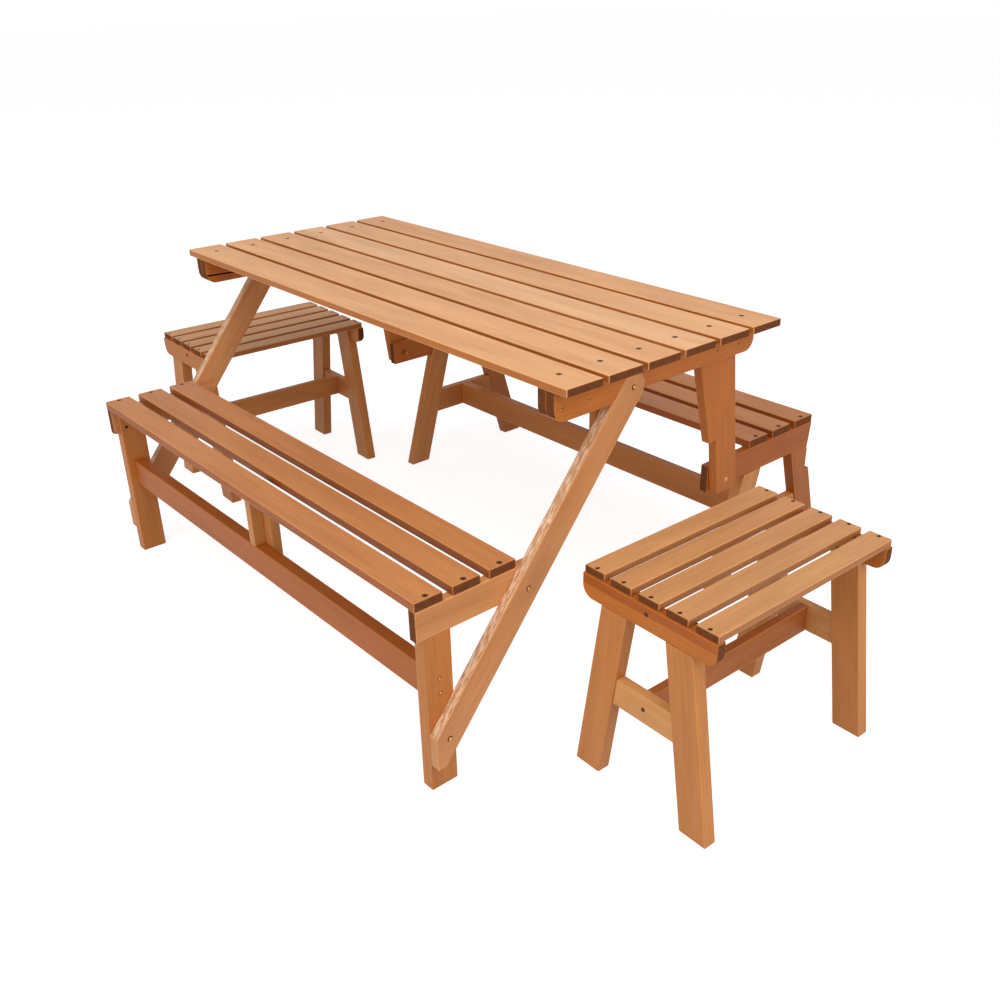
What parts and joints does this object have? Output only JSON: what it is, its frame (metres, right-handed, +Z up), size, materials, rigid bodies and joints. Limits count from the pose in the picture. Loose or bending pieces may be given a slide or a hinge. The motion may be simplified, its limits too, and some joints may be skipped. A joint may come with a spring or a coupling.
{
  "type": "convertible picnic table with benches and stools",
  "caption": "Slatted wooden picnic table hinged to its benches so that it folds into one deep bench with a back, with loose matching stools.",
  "frame": {"origin": "on the floor, under the middle of the whole set's footprint", "axes": "+X along the table, +Y from the front bench to the rear bench, +Z up"},
  "size_m": [2.1422, 1.3094, 0.74],
  "materials": {
    "slat_wood": "stained and oiled, satin",
    "frame_wood": "stained and oiled, satin",
    "steel": "zinc-plated, slightly dulled"
  },
  "bodies": {
    "front_bench": {"front_seat_slat_1": "slat_wood", "front_seat_slat_2": "slat_wood", "front_seat_slat_3": "slat_wood", "front_rail_left": "frame_wood", "front_rail_right": "frame_wood", "brace_left": "frame_wood", "brace_right": "frame_wood", "front_leg_left": "frame_wood", "front_leg_right": "frame_wood", "front_stretcher": "frame_wood", "front_centre_plank": "frame_wood", "front_centre_board": "frame_wood", "front_screws": "steel", "front_pivot_bolts": "steel"},
    "table_top": {"top_slat_1": "slat_wood", "top_slat_2": "slat_wood", "top_slat_3": "slat_wood", "top_slat_4": "slat_wood", "top_slat_5": "slat_wood", "top_slat_6": "slat_wood", "top_rail_left": "frame_wood", "top_rail_right": "frame_wood", "stop_block_left": "frame_wood", "stop_block_right": "frame_wood", "hanger_left": "frame_wood", "hanger_right": "frame_wood", "top_slat_screws": "steel", "hanger_screws": "steel", "rear_pivot_bolts": "steel"},
    "rear_bench": {"rear_seat_slat_1": "slat_wood", "rear_seat_slat_2": "slat_wood", "rear_seat_slat_3": "slat_wood", "rear_rail_left": "frame_wood", "rear_rail_right": "frame_wood", "rear_inner_leg_left": "frame_wood", "rear_inner_leg_right": "frame_wood", "rear_outer_leg_left": "frame_wood", "rear_outer_leg_right": "frame_wood", "rear_cross_stretcher_left": "frame_wood", "rear_cross_stretcher_right": "frame_wood", "rear_long_stretcher": "frame_wood", "rear_centre_plank": "frame_wood", "rear_centre_board": "frame_wood", "rear_screws": "steel"},
    "right_stool": {"right_stool_slats": "slat_wood", "right_stool_rail_front": "frame_wood", "right_stool_rail_rear": "frame_wood", "right_stool_legs_front": "frame_wood", "right_stool_legs_rear": "frame_wood", "right_stool_cross_stretchers": "frame_wood", "right_stool_long_stretcher": "frame_wood", "right_stool_screws": "steel"},
    "left_stool": {"left_stool_slats": "slat_wood", "left_stool_rail_front": "frame_wood", "left_stool_rail_rear": "frame_wood", "left_stool_legs_front": "frame_wood", "left_stool_legs_rear": "frame_wood", "left_stool_cross_stretchers": "frame_wood", "left_stool_long_stretcher": "frame_wood", "left_stool_screws": "steel"}
  },
  "joints": [
    {"name": "table_fold", "type": "hinge", "parent": "front_bench", "child": "table_top", "pos_m": [-0.02687, -0.14875, 0.684], "axis": [-1, 0, 0], "range_deg": [0, 97.2]},
    {"name": "rear_bench_pivot", "type": "hinge", "parent": "table_top", "child": "rear_bench", "pos_m": [-0.02687, 0.21425, 0.364], "axis": [-1, 0, 0], "range_deg": [-97.2, 0]},
    {"name": "right_stool_slide", "type": "slide", "parent": "front_bench", "child": "right_stool", "axis": [1, 0, 0], "range_m": [0, 0.5]},
    {"name": "left_stool_slide", "type": "slide", "parent": "front_bench", "child": "left_stool", "axis": [-1, 0, 0], "range_m": [0, 0.5]}
  ],
  "couplings": [
    {"joint": "rear_bench_pivot", "follows": "table_fold", "ratio": -1}
  ]
}
